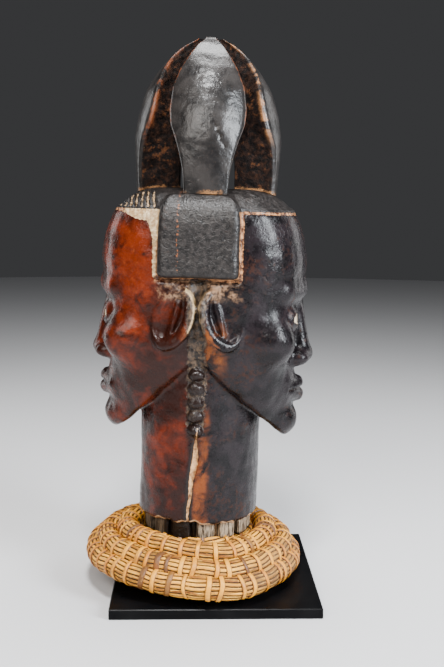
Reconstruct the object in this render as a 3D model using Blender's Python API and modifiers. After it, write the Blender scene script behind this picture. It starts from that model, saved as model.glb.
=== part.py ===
"""A two-faced carved headdress: a wooden janus head under hide, with four hair lobes on its crown, seated
in a coiled basketry cap on a square black plate. Metres, +Z up, the right-hand face towards +X."""

import math

import bmesh
import bpy
import numpy as np
import openvdb

# Clearance between pieces that touch
GAP = 0.0003

# Plate, with the origin at the middle of its underside
PLATE_WIDTH = 0.200
PLATE_THICKNESS = 0.010
PLATE_EDGE = 0.0008

# How the mask stands on the basketry: its axis, its turn about it and its lean to the right
MASK_X = -0.017
MASK_Y = 0.010
MASK_TURN = math.radians(-5.5)
MASK_LEAN = math.radians(1.3)

# Bare wooden foot of the neck, with lashing slots round it
FOOT_RADIUS = 0.054
FOOT_SLOTS = 14
SLOT_WIDTH = 0.006
SLOT_DEPTH = 0.007

# Neck and head: the chin above the foot, the face from chin to hairline, the crown above the hairline
NECK_RADIUS = 0.060
HIDE_EDGE = 0.018
CHIN_HEIGHT = 0.098
FACE_HEIGHT = 0.223
HAIR_RISE = 0.020
HEAD_HALF_LENGTH = 0.1025
HEAD_WIDTH = 0.150

# Cap of hair on the crown
CAP_HALF_LENGTH = 0.0885
CAP_HALF_WIDTH = 0.0770
CAP_SHOULDER = 0.042

# Hair panel on each side of the head
PANEL_WIDTH = 0.077
PANEL_DROP = 0.083
PANEL_REACH = 0.083
PANEL_CORNER = 0.007
PANEL_SHOULDER = 0.036

# Ears
EAR_HEIGHT = 0.061
EAR_PLACE = 0.022
EAR_REACH = 0.014
EAR_LEAN = math.radians(-22)

# Hair lobes, from their foot on the crown to their tip, turned as a group
LOBE_COUNT = 4
LOBE_HEIGHT = 0.1425
LOBE_RADIUS = 0.0715
LOBE_WIDTH = 0.0745
LOBE_BULGE = 0.015
LOBE_HOLLOW = 0.027
LOBE_GAP = 0.006
LOBE_TURN = math.radians(3.5)
LOBE_SEAT_SHARE = 0.10
LOBE_CLEARANCE = 2.5 * GAP

# Basketry: one bundle of stems, coiled outwards and down from the seat under the neck
COIL_RADIUS = 0.0114
COIL_START = 0.40
COIL_END = 4.10
BASKET_X = -0.0250
BASKET_Y = 0.0075
BASKET_RADIUS = 0.103
BASKET_RISE = 0.041
SEAT_HEIGHT = 0.046
SEAT_CLEARANCE = 0.0015

# How age has bent the basketry: share or height of each bend, its direction and its spread in degrees
BASKET_DENT_SHARE = 0.065
BASKET_DENT_ANGLE = -150.0
BASKET_DENT_SPREAD = 58.0
BASKET_CORNER_SHARE = 0.075
BASKET_CORNER_ANGLE = -66.0
BASKET_CORNER_SPREAD = 19.0
BASKET_LIFT = 0.004
BASKET_LIFT_ANGLE = -130.0
BASKET_LIFT_SPREAD = 34.0

# Fineness: rings of a lobe and points across it, grid steps of the two free forms and the triangles they keep
LOBE_RINGS = 15
LOBE_POINTS = 9
HEAD_STEP = 0.0024
HEAD_TRIANGLES = 4700
BASKET_STEP = 0.0028
BASKET_TRIANGLES = 2300


def smooth_min(a, b, blend):
    """The nearer of two forms, with a fillet about as wide as blend where they meet."""
    share = np.clip(0.5 + 0.5 * (b - a) / blend, 0.0, 1.0)
    return b + (a - b) * share - blend * share * (1.0 - share)


def smooth_max(a, b, blend):
    return -smooth_min(-a, -b, blend)


def carve(form, tool, blend):
    """The form with the tool cut away."""
    return smooth_max(form, -tool, blend)


def ellipsoid(point, centre, radii):
    scaled = [(p - c) / r for p, c, r in zip(point, centre, radii)]
    level = np.sqrt(sum(s * s for s in scaled))
    slope = np.sqrt(sum((s / r) ** 2 for s, r in zip(scaled, radii)))
    return level * (level - 1.0) / np.maximum(slope, 1e-6)


def capsule(point, start, end, start_radius, end_radius):
    """A rod with round ends, thicker at one of them."""
    along = [e - s for s, e in zip(start, end)]
    length = sum(a * a for a in along)
    share = sum((p - s) * a for p, s, a in zip(point, start, along)) / length
    share = np.clip(share, 0.0, 1.0)
    away = sum((p - s - a * share) ** 2 for p, s, a in zip(point, start, along))
    return np.sqrt(away) - start_radius - (end_radius - start_radius) * share


def rounded_box(point, centre, half, corner):
    outside = [np.abs(p - c) - h + corner for p, c, h in zip(point, centre, half)]
    reach = np.sqrt(sum(np.maximum(o, 0.0) ** 2 for o in outside))
    inside = np.minimum(np.maximum(np.maximum(outside[0], outside[1]), outside[2]), 0.0)
    return reach + inside - corner


def smooth_curve(at, places, values, reach):
    """A soft curve through values at places: straight runs, averaged over reach."""
    table = np.linspace(places[0], places[-1], 400)
    straight = np.interp(table, places, values)
    step = table[1] - table[0]
    half = max(1, int(reach / step))
    weights = np.hanning(2 * half + 1)
    padded = np.pad(straight, half, mode="edge")
    soft = np.convolve(padded, weights / weights.sum(), mode="valid")
    return np.interp(at, table, soft)


def face_level(share):
    """Height of a point of the face: 0 at the chin, 1 at the hairline."""
    return CHIN_HEIGHT + FACE_HEIGHT * share


BROW = face_level(2 / 3)
NOSE_BASE = face_level(1 / 3)
MOUTH = face_level(2 / 9)
HAIRLINE = face_level(1.0)
CROWN_HEIGHT = HAIRLINE + HAIR_RISE
EYE_LINE = (CHIN_HEIGHT + CROWN_HEIGHT) / 2
EYE_WIDTH = HEAD_WIDTH / 5


def head_mass(x, y, z):
    """The two skulls as one lofted form, with x and y both positive."""
    levels = [face_level(s) for s in (-0.06, 0.0, 0.06, 0.14, 0.24, 0.36, 0.52, 0.67, 0.78, 0.90, 1.0, 1.10)]
    fronts = (0.62, 0.76, 0.86, 0.84, 0.87, 0.885, 0.90, 0.96, 0.985, 0.95, 0.865, 0.72)
    sides = (0.20, 0.36, 0.52, 0.66, 0.79, 0.89, 0.94, 0.965, 0.985, 0.99, 0.95, 0.86)
    front = HEAD_HALF_LENGTH * smooth_curve(z, levels, fronts, 0.06 * FACE_HEIGHT)
    side = HEAD_WIDTH / 2 * smooth_curve(z, levels, sides, 0.06 * FACE_HEIGHT)
    middle = 0.22 * HEAD_HALF_LENGTH
    waist = 0.08 * np.clip(1.0 - x / middle, 0.0, 1.0) ** 2
    along = np.maximum(x - middle, 0.0) / (front - middle)
    across = y / (side * (1.0 - waist))
    level = (along**2.4 + across**2.4) ** (1 / 2.4)
    return (level - 1.0) * np.minimum(front - middle, side)


def jaw_line(x, z):
    """How far a point lies below the plane that runs from the chin up to the ear."""
    rise = 0.37 * FACE_HEIGHT
    run = 0.82 * HEAD_HALF_LENGTH
    length = math.hypot(rise, run)
    return (-(z - CHIN_HEIGHT) * run + (run - x) * rise) / length


def nose(point):
    depth = HEAD_HALF_LENGTH
    high = (0.875 * depth, 0, BROW - 0.010)
    low = (0.965 * depth, 0, NOSE_BASE + 0.012)
    bridge = capsule(point, high, low, 0.0080, 0.0095)
    tip = ellipsoid(point, (0.975 * depth, 0, NOSE_BASE + 0.0090), (0.0100, 0.0115, 0.0090))
    wing = ellipsoid(point, (0.930 * depth, 0.0150, NOSE_BASE + 0.0070), (0.0110, 0.0078, 0.0076))
    form = smooth_min(smooth_min(bridge, tip, 0.007), wing, 0.006)
    nostril = ellipsoid(point, (0.955 * depth, 0.0085, NOSE_BASE - 0.001), (0.0065, 0.0042, 0.0050))
    return form, nostril


def lips(point):
    depth = HEAD_HALF_LENGTH
    half = 0.85 * EYE_WIDTH
    corner = (0.845 * depth, half, MOUTH - 0.0005)
    upper = capsule(point, (0.935 * depth, 0.004, MOUTH + 0.0050), corner, 0.0068, 0.0024)
    lower = capsule(point, (0.930 * depth, 0, MOUTH - 0.0066), corner, 0.0080, 0.0024)
    parting = capsule(point, (1.000 * depth, 0, MOUTH), (0.865 * depth, half, MOUTH), 0.0014, 0.0010)
    return smooth_min(upper, lower, 0.002), parting


def eye_opening(y, z):
    """How far a point lies outside the almond between the lids, seen from the front."""
    across = (y - EYE_WIDTH) / (0.5 * EYE_WIDTH)
    arch = np.clip(1.0 - across**2, 0.0, None)
    top = EYE_LINE + 0.24 * EYE_WIDTH * arch
    bottom = EYE_LINE - 0.18 * EYE_WIDTH * arch
    return np.maximum(np.maximum(z - top, bottom - z), (np.abs(across) - 1.0) * 0.5 * EYE_WIDTH)


def eyes(point, form):
    """Sockets, and lids open in an almond over each ball."""
    x, y, z = point
    depth = HEAD_HALF_LENGTH
    centre = (0.790 * depth, EYE_WIDTH, EYE_LINE)
    socket = ellipsoid(point, (0.985 * depth, EYE_WIDTH, EYE_LINE + 0.002), (0.0135, 0.0210, 0.0125))
    form = carve(form, socket, 0.010)
    lids = ellipsoid(point, centre, (0.0155, 0.0185, 0.0160))
    form = smooth_min(form, lids, 0.002)
    ball = ellipsoid(point, centre, (0.0130, 0.0160, 0.0135))
    hollow = np.maximum(eye_opening(y, z), -ball)
    return carve(form, np.maximum(hollow, centre[0] - x), 0.0006)


def face(point, form):
    depth = HEAD_HALF_LENGTH
    brow = capsule(point, (0.930 * depth, 0.012, BROW + 0.001), (0.80 * depth, 0.046, BROW), 0.0065, 0.0045)
    form = smooth_min(form, brow, 0.010)
    cheek = ellipsoid(point, (0.70 * depth, 0.64 * HEAD_WIDTH / 2, NOSE_BASE + 0.026), (0.020, 0.019, 0.020))
    form = smooth_min(form, cheek, 0.018)
    muzzle = ellipsoid(point, (0.76 * depth, 0, MOUTH + 0.002), (0.0165, 0.0270, 0.0230))
    form = smooth_min(form, muzzle, 0.012)
    chin = ellipsoid(point, (0.775 * depth, 0, CHIN_HEIGHT + 0.017), (0.0175, 0.0200, 0.0155))
    form = smooth_min(form, chin, 0.012)
    form = eyes(point, form)
    nose_form, nostril = nose(point)
    form = carve(smooth_min(form, nose_form, 0.006), nostril, 0.002)
    lip_form, parting = lips(point)
    return carve(smooth_min(form, lip_form, 0.0025), parting, 0.0015)


def ear(point):
    """A rim round a hollow with one fold. Its back edge stands off the head, its front edge lies flush."""
    x, y, z = point
    middle = BROW - 0.5 * EAR_HEIGHT + 0.004
    along = (x - EAR_PLACE) * math.sin(EAR_LEAN) + (z - middle) * math.cos(EAR_LEAN)
    across = (x - EAR_PLACE) * math.cos(EAR_LEAN) - (z - middle) * math.sin(EAR_LEAN)
    tall = EAR_HEIGHT / 2
    wide = 0.60 * tall
    root = 0.90 * HEAD_WIDTH / 2
    rise = y - root - EAR_REACH * (wide - across) / (2 * wide)
    disc = (np.sqrt((along / tall) ** 2 + (across / wide) ** 2) - 1.0) * wide
    body = smooth_max(disc, rise - 0.003, 0.004)
    body = smooth_max(body, root - 0.014 - y, 0.002)
    bowl = np.sqrt((along / (0.74 * tall)) ** 2 + ((across - 0.22 * wide) / (0.72 * wide)) ** 2)
    bowl = np.maximum((bowl - 1.0) * 0.72 * wide, -0.006 - rise)
    fold_top = (0.10 * wide, -0.003, 0.50 * tall)
    fold_foot = (-0.12 * wide, -0.003, -0.50 * tall)
    fold = capsule((across, rise, along), fold_top, fold_foot, 0.0034, 0.0024)
    return smooth_min(carve(body, bowl, 0.003), fold, 0.003)


def hair_cap(point):
    """The cap of hair: flat on the crown, with a rounded shoulder down to the hairline."""
    x, y, z = point
    level = ((x / CAP_HALF_LENGTH) ** 2.6 + (y / CAP_HALF_WIDTH) ** 2.6) ** (1 / 2.6)
    side = (level - 1.0) * CAP_HALF_WIDTH
    return np.maximum(smooth_max(side, z - CROWN_HEIGHT, CAP_SHOULDER), HAIRLINE - z)


def hair_panel(point):
    """The block of hair that hangs down the side, between the two ears."""
    bottom = CROWN_HEIGHT - PANEL_DROP
    top = CROWN_HEIGHT + PANEL_CORNER
    centre = (0, 0.5 * PANEL_REACH, 0.5 * (top + bottom))
    half = (PANEL_WIDTH / 2, 0.5 * PANEL_REACH, 0.5 * (top - bottom))
    block = rounded_box(point, centre, half, PANEL_CORNER)
    return smooth_max(block, point[2] - CROWN_HEIGHT, PANEL_SHOULDER)


def braid(point):
    """A column of small knobs between the backs of the two jaws."""
    knobs = None
    for index in range(5):
        level = CHIN_HEIGHT + 0.014 + 0.0135 * index
        knob = ellipsoid(point, (0, NECK_RADIUS + 0.001, level), (0.0075, 0.0050, 0.0062))
        knobs = knob if knobs is None else smooth_min(knobs, knob, 0.001)
    return knobs


def foot(x, y, z):
    """The bare end of the neck, with slots for the lashing that holds the basketry."""
    radius = np.sqrt(x * x + y * y)
    turn = np.arctan2(y, x) / (2 * math.pi)
    place = (turn * FOOT_SLOTS) % 1.0 - 0.5
    slot = np.abs(place) * 2 * math.pi * FOOT_RADIUS / FOOT_SLOTS - SLOT_WIDTH / 2
    slot = np.maximum(slot, FOOT_RADIUS - SLOT_DEPTH - radius)
    body = np.maximum(radius - FOOT_RADIUS, z - HIDE_EDGE - 0.010)
    return carve(body, slot, 0.001)


def head_quarter(x, y, z):
    """Distance to the head for the quarter with x and y positive, which the other three quarters repeat."""
    point = (x, y, z)
    form = face(point, head_mass(x, y, z))
    form = smooth_max(form, jaw_line(x, z), 0.006)
    form = smooth_max(form, z - HAIRLINE - 0.004, 0.004)
    neck = np.sqrt(x * x + y * y) - NECK_RADIUS
    neck = np.maximum(np.maximum(neck, HIDE_EDGE - z), z - face_level(0.7))
    form = smooth_min(form, neck, 0.004)
    form = smooth_min(form, ear(point), 0.004)
    hair = smooth_min(hair_cap(point), hair_panel(point), 0.003)
    form = smooth_min(form, hair, 0.0015)
    return smooth_min(form, braid(point), 0.002)


def crown_drop(x, y):
    """How far the top of the head lies below the crown at places x and y, found by halving."""
    low = np.zeros_like(x)
    high = np.full_like(x, LOBE_SEAT_SHARE * LOBE_HEIGHT)
    for _ in range(20):
        middle = 0.5 * (low + high)
        above = head_quarter(np.abs(x), np.abs(y), CROWN_HEIGHT - middle) > 0.0
        low = np.where(above, middle, low)
        high = np.where(above, high, middle)
    return high


def head_field(step):
    """The head's distances on a grid, and the grid's low corner."""
    reach_x = 1.12 * HEAD_HALF_LENGTH + 4 * step
    reach_y = PANEL_REACH + EAR_REACH + 4 * step
    xs = (np.arange(int(reach_x / step)) + 0.5) * step
    ys = (np.arange(int(reach_y / step)) + 0.5) * step
    zs = np.arange(-0.004 - 4 * step, CROWN_HEIGHT + 0.004 + 4 * step, step)
    x, y, z = np.meshgrid(xs, ys, zs, indexing="ij")
    quarter = head_quarter(x, y, z)
    half = np.concatenate([quarter[::-1], quarter], axis=0)
    whole = np.concatenate([half[:, ::-1], half], axis=1)
    xs = np.concatenate([-xs[::-1], xs])
    ys = np.concatenate([-ys[::-1], ys])
    x, y, z = np.meshgrid(xs, ys, zs, indexing="ij")
    whole = smooth_min(whole, foot(x, y, z), 0.001)
    whole = np.maximum(whole, -0.003 - z)
    return whole, (xs[0], ys[0], zs[0])


def coil_path(turn):
    """Radius and height of the middle of the bundle after so many turns from the back of the seat."""
    slope = np.radians(18.3 + 17.6 * turn)
    radius = BASKET_RADIUS * np.sin(slope)
    low = PLATE_THICKNESS + GAP + COIL_RADIUS
    height = low + BASKET_RISE * np.cos(slope)
    pressed = PLATE_THICKNESS + SEAT_HEIGHT - 0.5 * COIL_RADIUS
    share = np.clip((radius - FOOT_RADIUS) / COIL_RADIUS, 0.0, 1.0)
    return radius, pressed + (height - pressed) * share


def around(angle, middle, width):
    """A soft hump of 1 at the middle angle, in degrees."""
    away = (np.degrees(angle) - middle + 180.0) % 360.0 - 180.0
    return np.exp(-((away / width) ** 2))


def basket_plan(angle):
    """How far out of round the basketry has gone: pushed in at the left, out at the front right."""
    dent = BASKET_DENT_SHARE * around(angle, BASKET_DENT_ANGLE, BASKET_DENT_SPREAD)
    corner = BASKET_CORNER_SHARE * around(angle, BASKET_CORNER_ANGLE, BASKET_CORNER_SPREAD)
    return 1.0 - dent + corner


def basket_field(step):
    """Distances to the coiled bundle on a grid, and the grid's low corner."""
    reach = 1.06 * BASKET_RADIUS + COIL_RADIUS + 3 * step
    xs = np.arange(-reach, reach, step)
    zs = np.arange(-3 * step, PLATE_THICKNESS + BASKET_RISE + 3 * COIL_RADIUS + 3 * step, step)
    x, y, z = np.meshgrid(xs, xs, zs, indexing="ij")
    angle = np.arctan2(y, x)
    radius = np.sqrt(x * x + y * y) / basket_plan(angle)
    share = ((np.degrees(angle) - 90.0) % 360.0) / 360.0
    form = None
    for lap in range(int(COIL_END) + 1):
        turn = np.clip(share + lap, COIL_START, COIL_END)
        middle, height = coil_path(turn)
        height = height + BASKET_LIFT * around(angle, BASKET_LIFT_ANGLE, BASKET_LIFT_SPREAD)
        past = np.abs(share + lap - turn) * 2 * math.pi * middle
        thick = COIL_RADIUS * (1.0 - 0.45 * np.clip((turn - COIL_END + 0.12) / 0.12, 0.0, 1.0))
        coil = np.sqrt((radius - middle) ** 2 + (z - height) ** 2 + past**2) - thick
        form = coil if form is None else smooth_min(form, coil, 0.0025)
    return form, (xs[0], xs[0], zs[0])


def mesh_from_field(name, field, low, step):
    """A piece with its surface where the field is zero."""
    grid = openvdb.FloatGrid()
    grid.copyFromArray(np.ascontiguousarray(field, dtype=np.float32))
    points, triangles, quads = grid.convertToPolygons(isovalue=0.0)
    points = np.asarray(points) * step + np.asarray(low)
    faces = [face[::-1] for face in np.asarray(triangles).tolist() + np.asarray(quads).tolist()]
    mesh = bpy.data.meshes.new(name)
    mesh.from_pydata(points.tolist(), [], faces)
    piece = bpy.data.objects.new(name, mesh)
    mesh.shade_smooth()
    return piece


def seat_lobe(points, shares, turn):
    """Bring the low end of a lobe down onto the slope of the crown, for a lobe turned about the axis."""
    x, y, z = points.T
    across = x * math.cos(turn) - y * math.sin(turn)
    along = x * math.sin(turn) + y * math.cos(turn)
    sink = crown_drop(across, along) * np.clip(1.0 - shares / LOBE_SEAT_SHARE, 0.0, 1.0)
    return np.stack([x, y, z - sink], axis=1)


def lobe_mesh(name, rings, points, turn):
    """One hair lobe: a stem that widens at a knee into a pointed shield, lofted ring by ring, facing -Y."""
    shares = np.linspace(0.0, 1.0, rings)
    half = LOBE_WIDTH / 2
    stations = (0.0, 0.10, 0.20, 0.31, 0.40, 0.50, 0.64, 0.76, 0.87, 0.95, 1.0)
    widths = (0.56, 0.60, 0.68, 0.82, 0.96, 1.0, 0.93, 0.75, 0.50, 0.27, 0.10)
    fronts = (0.955, 0.975, 0.99, 1.0, 0.985, 0.945, 0.86, 0.72, 0.53, 0.34, 0.15)
    backs = (1.0, 1.0, 0.97, 0.92, 0.88, 0.84, 0.76, 0.62, 0.42, 0.24, 0.12)
    widths = half * smooth_curve(shares, stations, widths, 0.03)
    outs = LOBE_RADIUS * smooth_curve(shares, stations, fronts, 0.04)
    backs = LOBE_HOLLOW * smooth_curve(shares, stations, backs, 0.04)
    flank_parts = (0.16, 0.34, 0.60, 1.0)
    loops = []
    for share, width, out, back in zip(shares, widths, outs, backs):
        bulge = LOBE_BULGE * (width / half) ** 2.5
        inner = max(min(0.92 * width, back - LOBE_GAP / 2), 0.0012)
        level = LOBE_HEIGHT * share
        loop = []
        for across in np.linspace(-1.0, 1.0, points):
            loop.append((width * across, -(out - bulge * across * across), level))
        edge = out - bulge
        flank = [(width + (inner - width) * part, (edge - back) * part - edge) for part in flank_parts]
        loop += [(x, y, level) for x, y in flank]
        loop += [(-x, y, level) for x, y in flank[::-1]]
        loops.append(np.array(loop))
    middle = np.array([0.0, -0.5 * (outs[0] + backs[0]), 0.0])
    underside = [middle + (loops[0] - middle) * scale for scale in (0.02, 0.35, 0.60, 0.80)]
    loops = underside + loops
    shares = np.concatenate([np.zeros(len(underside)), shares])
    bm = bmesh.new()
    verts = []
    for loop, share in zip(loops, shares):
        seated = seat_lobe(loop, share, turn)
        verts.append([bm.verts.new(point) for point in seated.tolist()])
    for low, high in zip(verts, verts[1:]):
        for index in range(len(low)):
            after = (index + 1) % len(low)
            bm.faces.new((low[index], low[after], high[after], high[index]))
    bm.faces.new(verts[0][::-1])
    bm.faces.new(verts[-1])
    bmesh.ops.triangulate(bm, faces=bm.faces)
    mesh = bpy.data.meshes.new(name)
    bm.to_mesh(mesh)
    bm.free()
    mesh.shade_smooth()
    mesh.set_sharp_from_angle(angle=math.radians(38))
    return bpy.data.objects.new(name, mesh)


def block(name, low, high):
    """A plain box between two corners."""
    bm = bmesh.new()
    bmesh.ops.create_cube(bm, size=1.0)
    for vert in bm.verts:
        vert.co = [l + (c + 0.5) * (h - l) for c, l, h in zip(vert.co, low, high)]
    mesh = bpy.data.meshes.new(name)
    bm.to_mesh(mesh)
    bm.free()
    return bpy.data.objects.new(name, mesh)


def material(name, colour, roughness):
    new = bpy.data.materials.new(name)
    new.use_nodes = True
    shader = new.node_tree.nodes["Principled BSDF"]
    shader.inputs["Base Color"].default_value = (*colour, 1.0)
    shader.inputs["Roughness"].default_value = roughness
    return new


def thin_out(piece, triangles):
    """Keep about so many triangles of a piece."""
    count = sum(len(face.vertices) - 2 for face in piece.data.polygons)
    modifier = piece.modifiers.new("thin_out", "DECIMATE")
    modifier.ratio = min(1.0, triangles / count)
    modifier.use_collapse_triangulate = True


def cut(piece, cutter, operation):
    modifier = piece.modifiers.new(cutter.name, "BOOLEAN")
    modifier.object = cutter
    modifier.operation = operation
    modifier.solver = "EXACT"
    cutter.display_type = "WIRE"
    cutter.hide_render = True


def build_head(stance):
    field, low = head_field(HEAD_STEP)
    head = mesh_from_field("janus_head", field, low, HEAD_STEP)
    head.parent = stance
    thin_out(head, HEAD_TRIANGLES)
    reach = 2 * HEAD_HALF_LENGTH
    bounds = block("crown_and_foot_planes", (-reach, -reach, 0.0), (reach, reach, CROWN_HEIGHT))
    bounds.parent = stance
    cut(head, bounds, "INTERSECT")
    head.data.materials.append(material("dark_hide", (0.075, 0.040, 0.030), 0.38))
    return head, bounds


def build_lobes(stance):
    skin = material("lobe_hide", (0.045, 0.040, 0.038), 0.50)
    lobes = []
    for index, side in enumerate(("front", "right", "back", "left")):
        turn = LOBE_TURN + 2 * math.pi * index / LOBE_COUNT
        lobe = lobe_mesh(f"hair_lobe_{side}", LOBE_RINGS, LOBE_POINTS, turn)
        lobe.parent = stance
        lobe.location = (0, 0, CROWN_HEIGHT + LOBE_CLEARANCE)
        lobe.rotation_euler = (0, 0, turn)
        lobe.data.materials.append(skin)
        lobes.append(lobe)
    return lobes


def build_basket(stance):
    field, low = basket_field(BASKET_STEP)
    basket = mesh_from_field("coiled_basket", field, low, BASKET_STEP)
    basket.location = (BASKET_X, BASKET_Y, 0)
    thin_out(basket, BASKET_TRIANGLES)
    reach = 2 * BASKET_RADIUS
    ground = block("plate_plane", (-reach, -reach, PLATE_THICKNESS + GAP), (reach, reach, reach))
    ground.location = basket.location
    cut(basket, ground, "INTERSECT")
    seat = tube_cutter("neck_seat", FOOT_RADIUS + SEAT_CLEARANCE, 4 * COIL_RADIUS)
    seat.parent = stance
    seat.location = (0, 0, -GAP)
    cut(basket, seat, "DIFFERENCE")
    basket.data.materials.append(material("straw", (0.52, 0.34, 0.13), 0.70))
    return basket, [ground, seat]


def tube_cutter(name, radius, height):
    bm = bmesh.new()
    bmesh.ops.create_cone(bm, cap_ends=True, segments=48, radius1=radius, radius2=radius, depth=height)
    bmesh.ops.translate(bm, verts=bm.verts, vec=(0, 0, height / 2))
    mesh = bpy.data.meshes.new(name)
    bm.to_mesh(mesh)
    bm.free()
    return bpy.data.objects.new(name, mesh)


def build_plate():
    half = PLATE_WIDTH / 2
    plate = block("base_plate", (-half, -half, 0.0), (half, half, PLATE_THICKNESS))
    bevel = plate.modifiers.new("edge", "BEVEL")
    bevel.width = PLATE_EDGE
    bevel.segments = 1
    plate.data.materials.append(material("black_base", (0.012, 0.012, 0.013), 0.35))
    return plate


def main():
    for old in list(bpy.data.objects):
        bpy.data.objects.remove(old)
    scene = bpy.context.scene
    parts = bpy.data.collections.new("janus_headdress")
    tools = bpy.data.collections.new("cutters")
    scene.collection.children.link(parts)
    scene.collection.children.link(tools)
    stance = bpy.data.objects.new("mask_stance", None)
    stance.location = (MASK_X, MASK_Y, PLATE_THICKNESS + SEAT_HEIGHT)
    stance.rotation_euler = (0, MASK_LEAN, MASK_TURN)
    parts.objects.link(stance)
    head, bounds = build_head(stance)
    basket, cutters = build_basket(stance)
    for piece in [head, basket, build_plate(), *build_lobes(stance)]:
        parts.objects.link(piece)
    for cutter in [bounds, *cutters]:
        tools.objects.link(cutter)


main()
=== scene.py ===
"""How the janus headdress looks: its worn hide, hair, basketry and plate, in a plain studio."""

from math import cos, hypot, pi, radians, sin

import bmesh
import bpy
import numpy as np
import openvdb
from mathutils import Euler, Matrix, Vector

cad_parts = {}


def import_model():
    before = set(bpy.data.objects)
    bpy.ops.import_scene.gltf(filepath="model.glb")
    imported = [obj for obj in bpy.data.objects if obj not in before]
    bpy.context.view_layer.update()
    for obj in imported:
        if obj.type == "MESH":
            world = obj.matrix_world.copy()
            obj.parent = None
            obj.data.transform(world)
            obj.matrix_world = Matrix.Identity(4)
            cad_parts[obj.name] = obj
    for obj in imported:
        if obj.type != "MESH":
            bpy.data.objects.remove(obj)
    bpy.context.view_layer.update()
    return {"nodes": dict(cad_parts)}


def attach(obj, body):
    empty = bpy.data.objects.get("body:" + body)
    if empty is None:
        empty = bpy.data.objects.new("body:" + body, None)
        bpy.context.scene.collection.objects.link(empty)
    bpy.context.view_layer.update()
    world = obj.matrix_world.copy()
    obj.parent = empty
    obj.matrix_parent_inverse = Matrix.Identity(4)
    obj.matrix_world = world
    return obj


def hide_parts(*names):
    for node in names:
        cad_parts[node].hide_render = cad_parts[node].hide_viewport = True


# Clearance between pieces that touch
GAP = 0.0003

# Plate, with the origin at the middle of its underside
PLATE_THICKNESS = 0.01

# How the mask stands on the basketry: its axis, its turn about it and its lean to the right
MASK_X = -0.017
MASK_Y = 0.01
MASK_TURN = radians(-5.5)
MASK_LEAN = radians(1.3)

# Bare wooden foot of the neck, with lashing slots round it
FOOT_RADIUS = 0.054
FOOT_SLOTS = 14
SLOT_WIDTH = 0.006
SLOT_DEPTH = 0.007

# Neck and head: the chin above the foot, the face from chin to hairline, the crown above the hairline
NECK_RADIUS = 0.06
HIDE_EDGE = 0.018
CHIN_HEIGHT = 0.098
FACE_HEIGHT = 0.223
HAIR_RISE = 0.02
HEAD_HALF_LENGTH = 0.1025
HEAD_WIDTH = 0.15

# Cap of hair on the crown
CAP_HALF_LENGTH = 0.0885
CAP_HALF_WIDTH = 0.077
CAP_SHOULDER = 0.042

# Hair panel on each side of the head
PANEL_WIDTH = 0.077
PANEL_DROP = 0.083
PANEL_REACH = 0.083
PANEL_CORNER = 0.007
PANEL_SHOULDER = 0.036

# Ears
EAR_HEIGHT = 0.061
EAR_PLACE = 0.022
EAR_REACH = 0.014
EAR_LEAN = radians(-22)

# Hair lobes, from their foot on the crown to their tip, turned as a group
LOBE_COUNT = 4
LOBE_HEIGHT = 0.1425
LOBE_RADIUS = 0.0715
LOBE_WIDTH = 0.0745
LOBE_BULGE = 0.015
LOBE_HOLLOW = 0.027
LOBE_GAP = 0.006
LOBE_TURN = radians(3.5)
LOBE_SEAT_SHARE = 0.1
LOBE_CLEARANCE = 2.5 * GAP

# Basketry: one bundle of stems, coiled outwards and down from the seat under the neck
COIL_RADIUS = 0.0114
COIL_START = 0.4
COIL_END = 4.1
BASKET_X = -0.025
BASKET_Y = 0.0075
BASKET_RADIUS = 0.103
BASKET_RISE = 0.041
SEAT_HEIGHT = 0.046

# How age has bent the basketry: share or height of each bend, its direction and its spread in degrees
BASKET_DENT_SHARE = 0.065
BASKET_DENT_ANGLE = -150.0
BASKET_DENT_SPREAD = 58.0
BASKET_CORNER_SHARE = 0.075
BASKET_CORNER_ANGLE = -66.0
BASKET_CORNER_SPREAD = 19.0
BASKET_LIFT = 0.004
BASKET_LIFT_ANGLE = -130.0
BASKET_LIFT_SPREAD = 34.0

# The photograph's camera
FRAME_HEIGHT = 667
FOCAL_PIXELS = 930.455
SENSOR = 36.0
EYE = (-0.023434, -0.919419, 0.383033)
YAW = radians(1.86)
PITCH = radians(7.94)
ROLL = radians(0.48)

# Round floor of the studio
FLOOR_RADIUS = 4.0

# The materials read lengths in millimetres, and FAR where a mark isn't near
MM = 1000.0
FAR = 20.0
NEAR_BLACK = (0.01, 0.008, 0.007)


def smooth_min(a, b, blend):
    """The nearer of two forms, with a fillet about as wide as blend where they meet."""
    share = np.clip(0.5 + 0.5 * (b - a) / blend, 0.0, 1.0)
    return b + (a - b) * share - blend * share * (1.0 - share)


def smooth_max(a, b, blend):
    return -smooth_min(-a, -b, blend)


def carve(form, tool, blend):
    """The form with the tool cut away."""
    return smooth_max(form, -tool, blend)


def ellipsoid(point, centre, radii):
    scaled = [(p - c) / r for p, c, r in zip(point, centre, radii)]
    level = np.sqrt(sum(s * s for s in scaled))
    slope = np.sqrt(sum((s / r) ** 2 for s, r in zip(scaled, radii)))
    return level * (level - 1.0) / np.maximum(slope, 1e-6)


def capsule(point, start, end, start_radius, end_radius):
    """A rod with round ends, thicker at one of them."""
    along = [e - s for s, e in zip(start, end)]
    length = sum(a * a for a in along)
    share = sum((p - s) * a for p, s, a in zip(point, start, along)) / length
    share = np.clip(share, 0.0, 1.0)
    away = sum((p - s - a * share) ** 2 for p, s, a in zip(point, start, along))
    return np.sqrt(away) - start_radius - (end_radius - start_radius) * share


def rounded_box(point, centre, half, corner):
    outside = [np.abs(p - c) - h + corner for p, c, h in zip(point, centre, half)]
    reach = np.sqrt(sum(np.maximum(o, 0.0) ** 2 for o in outside))
    inside = np.minimum(np.maximum(np.maximum(outside[0], outside[1]), outside[2]), 0.0)
    return reach + inside - corner


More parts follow.
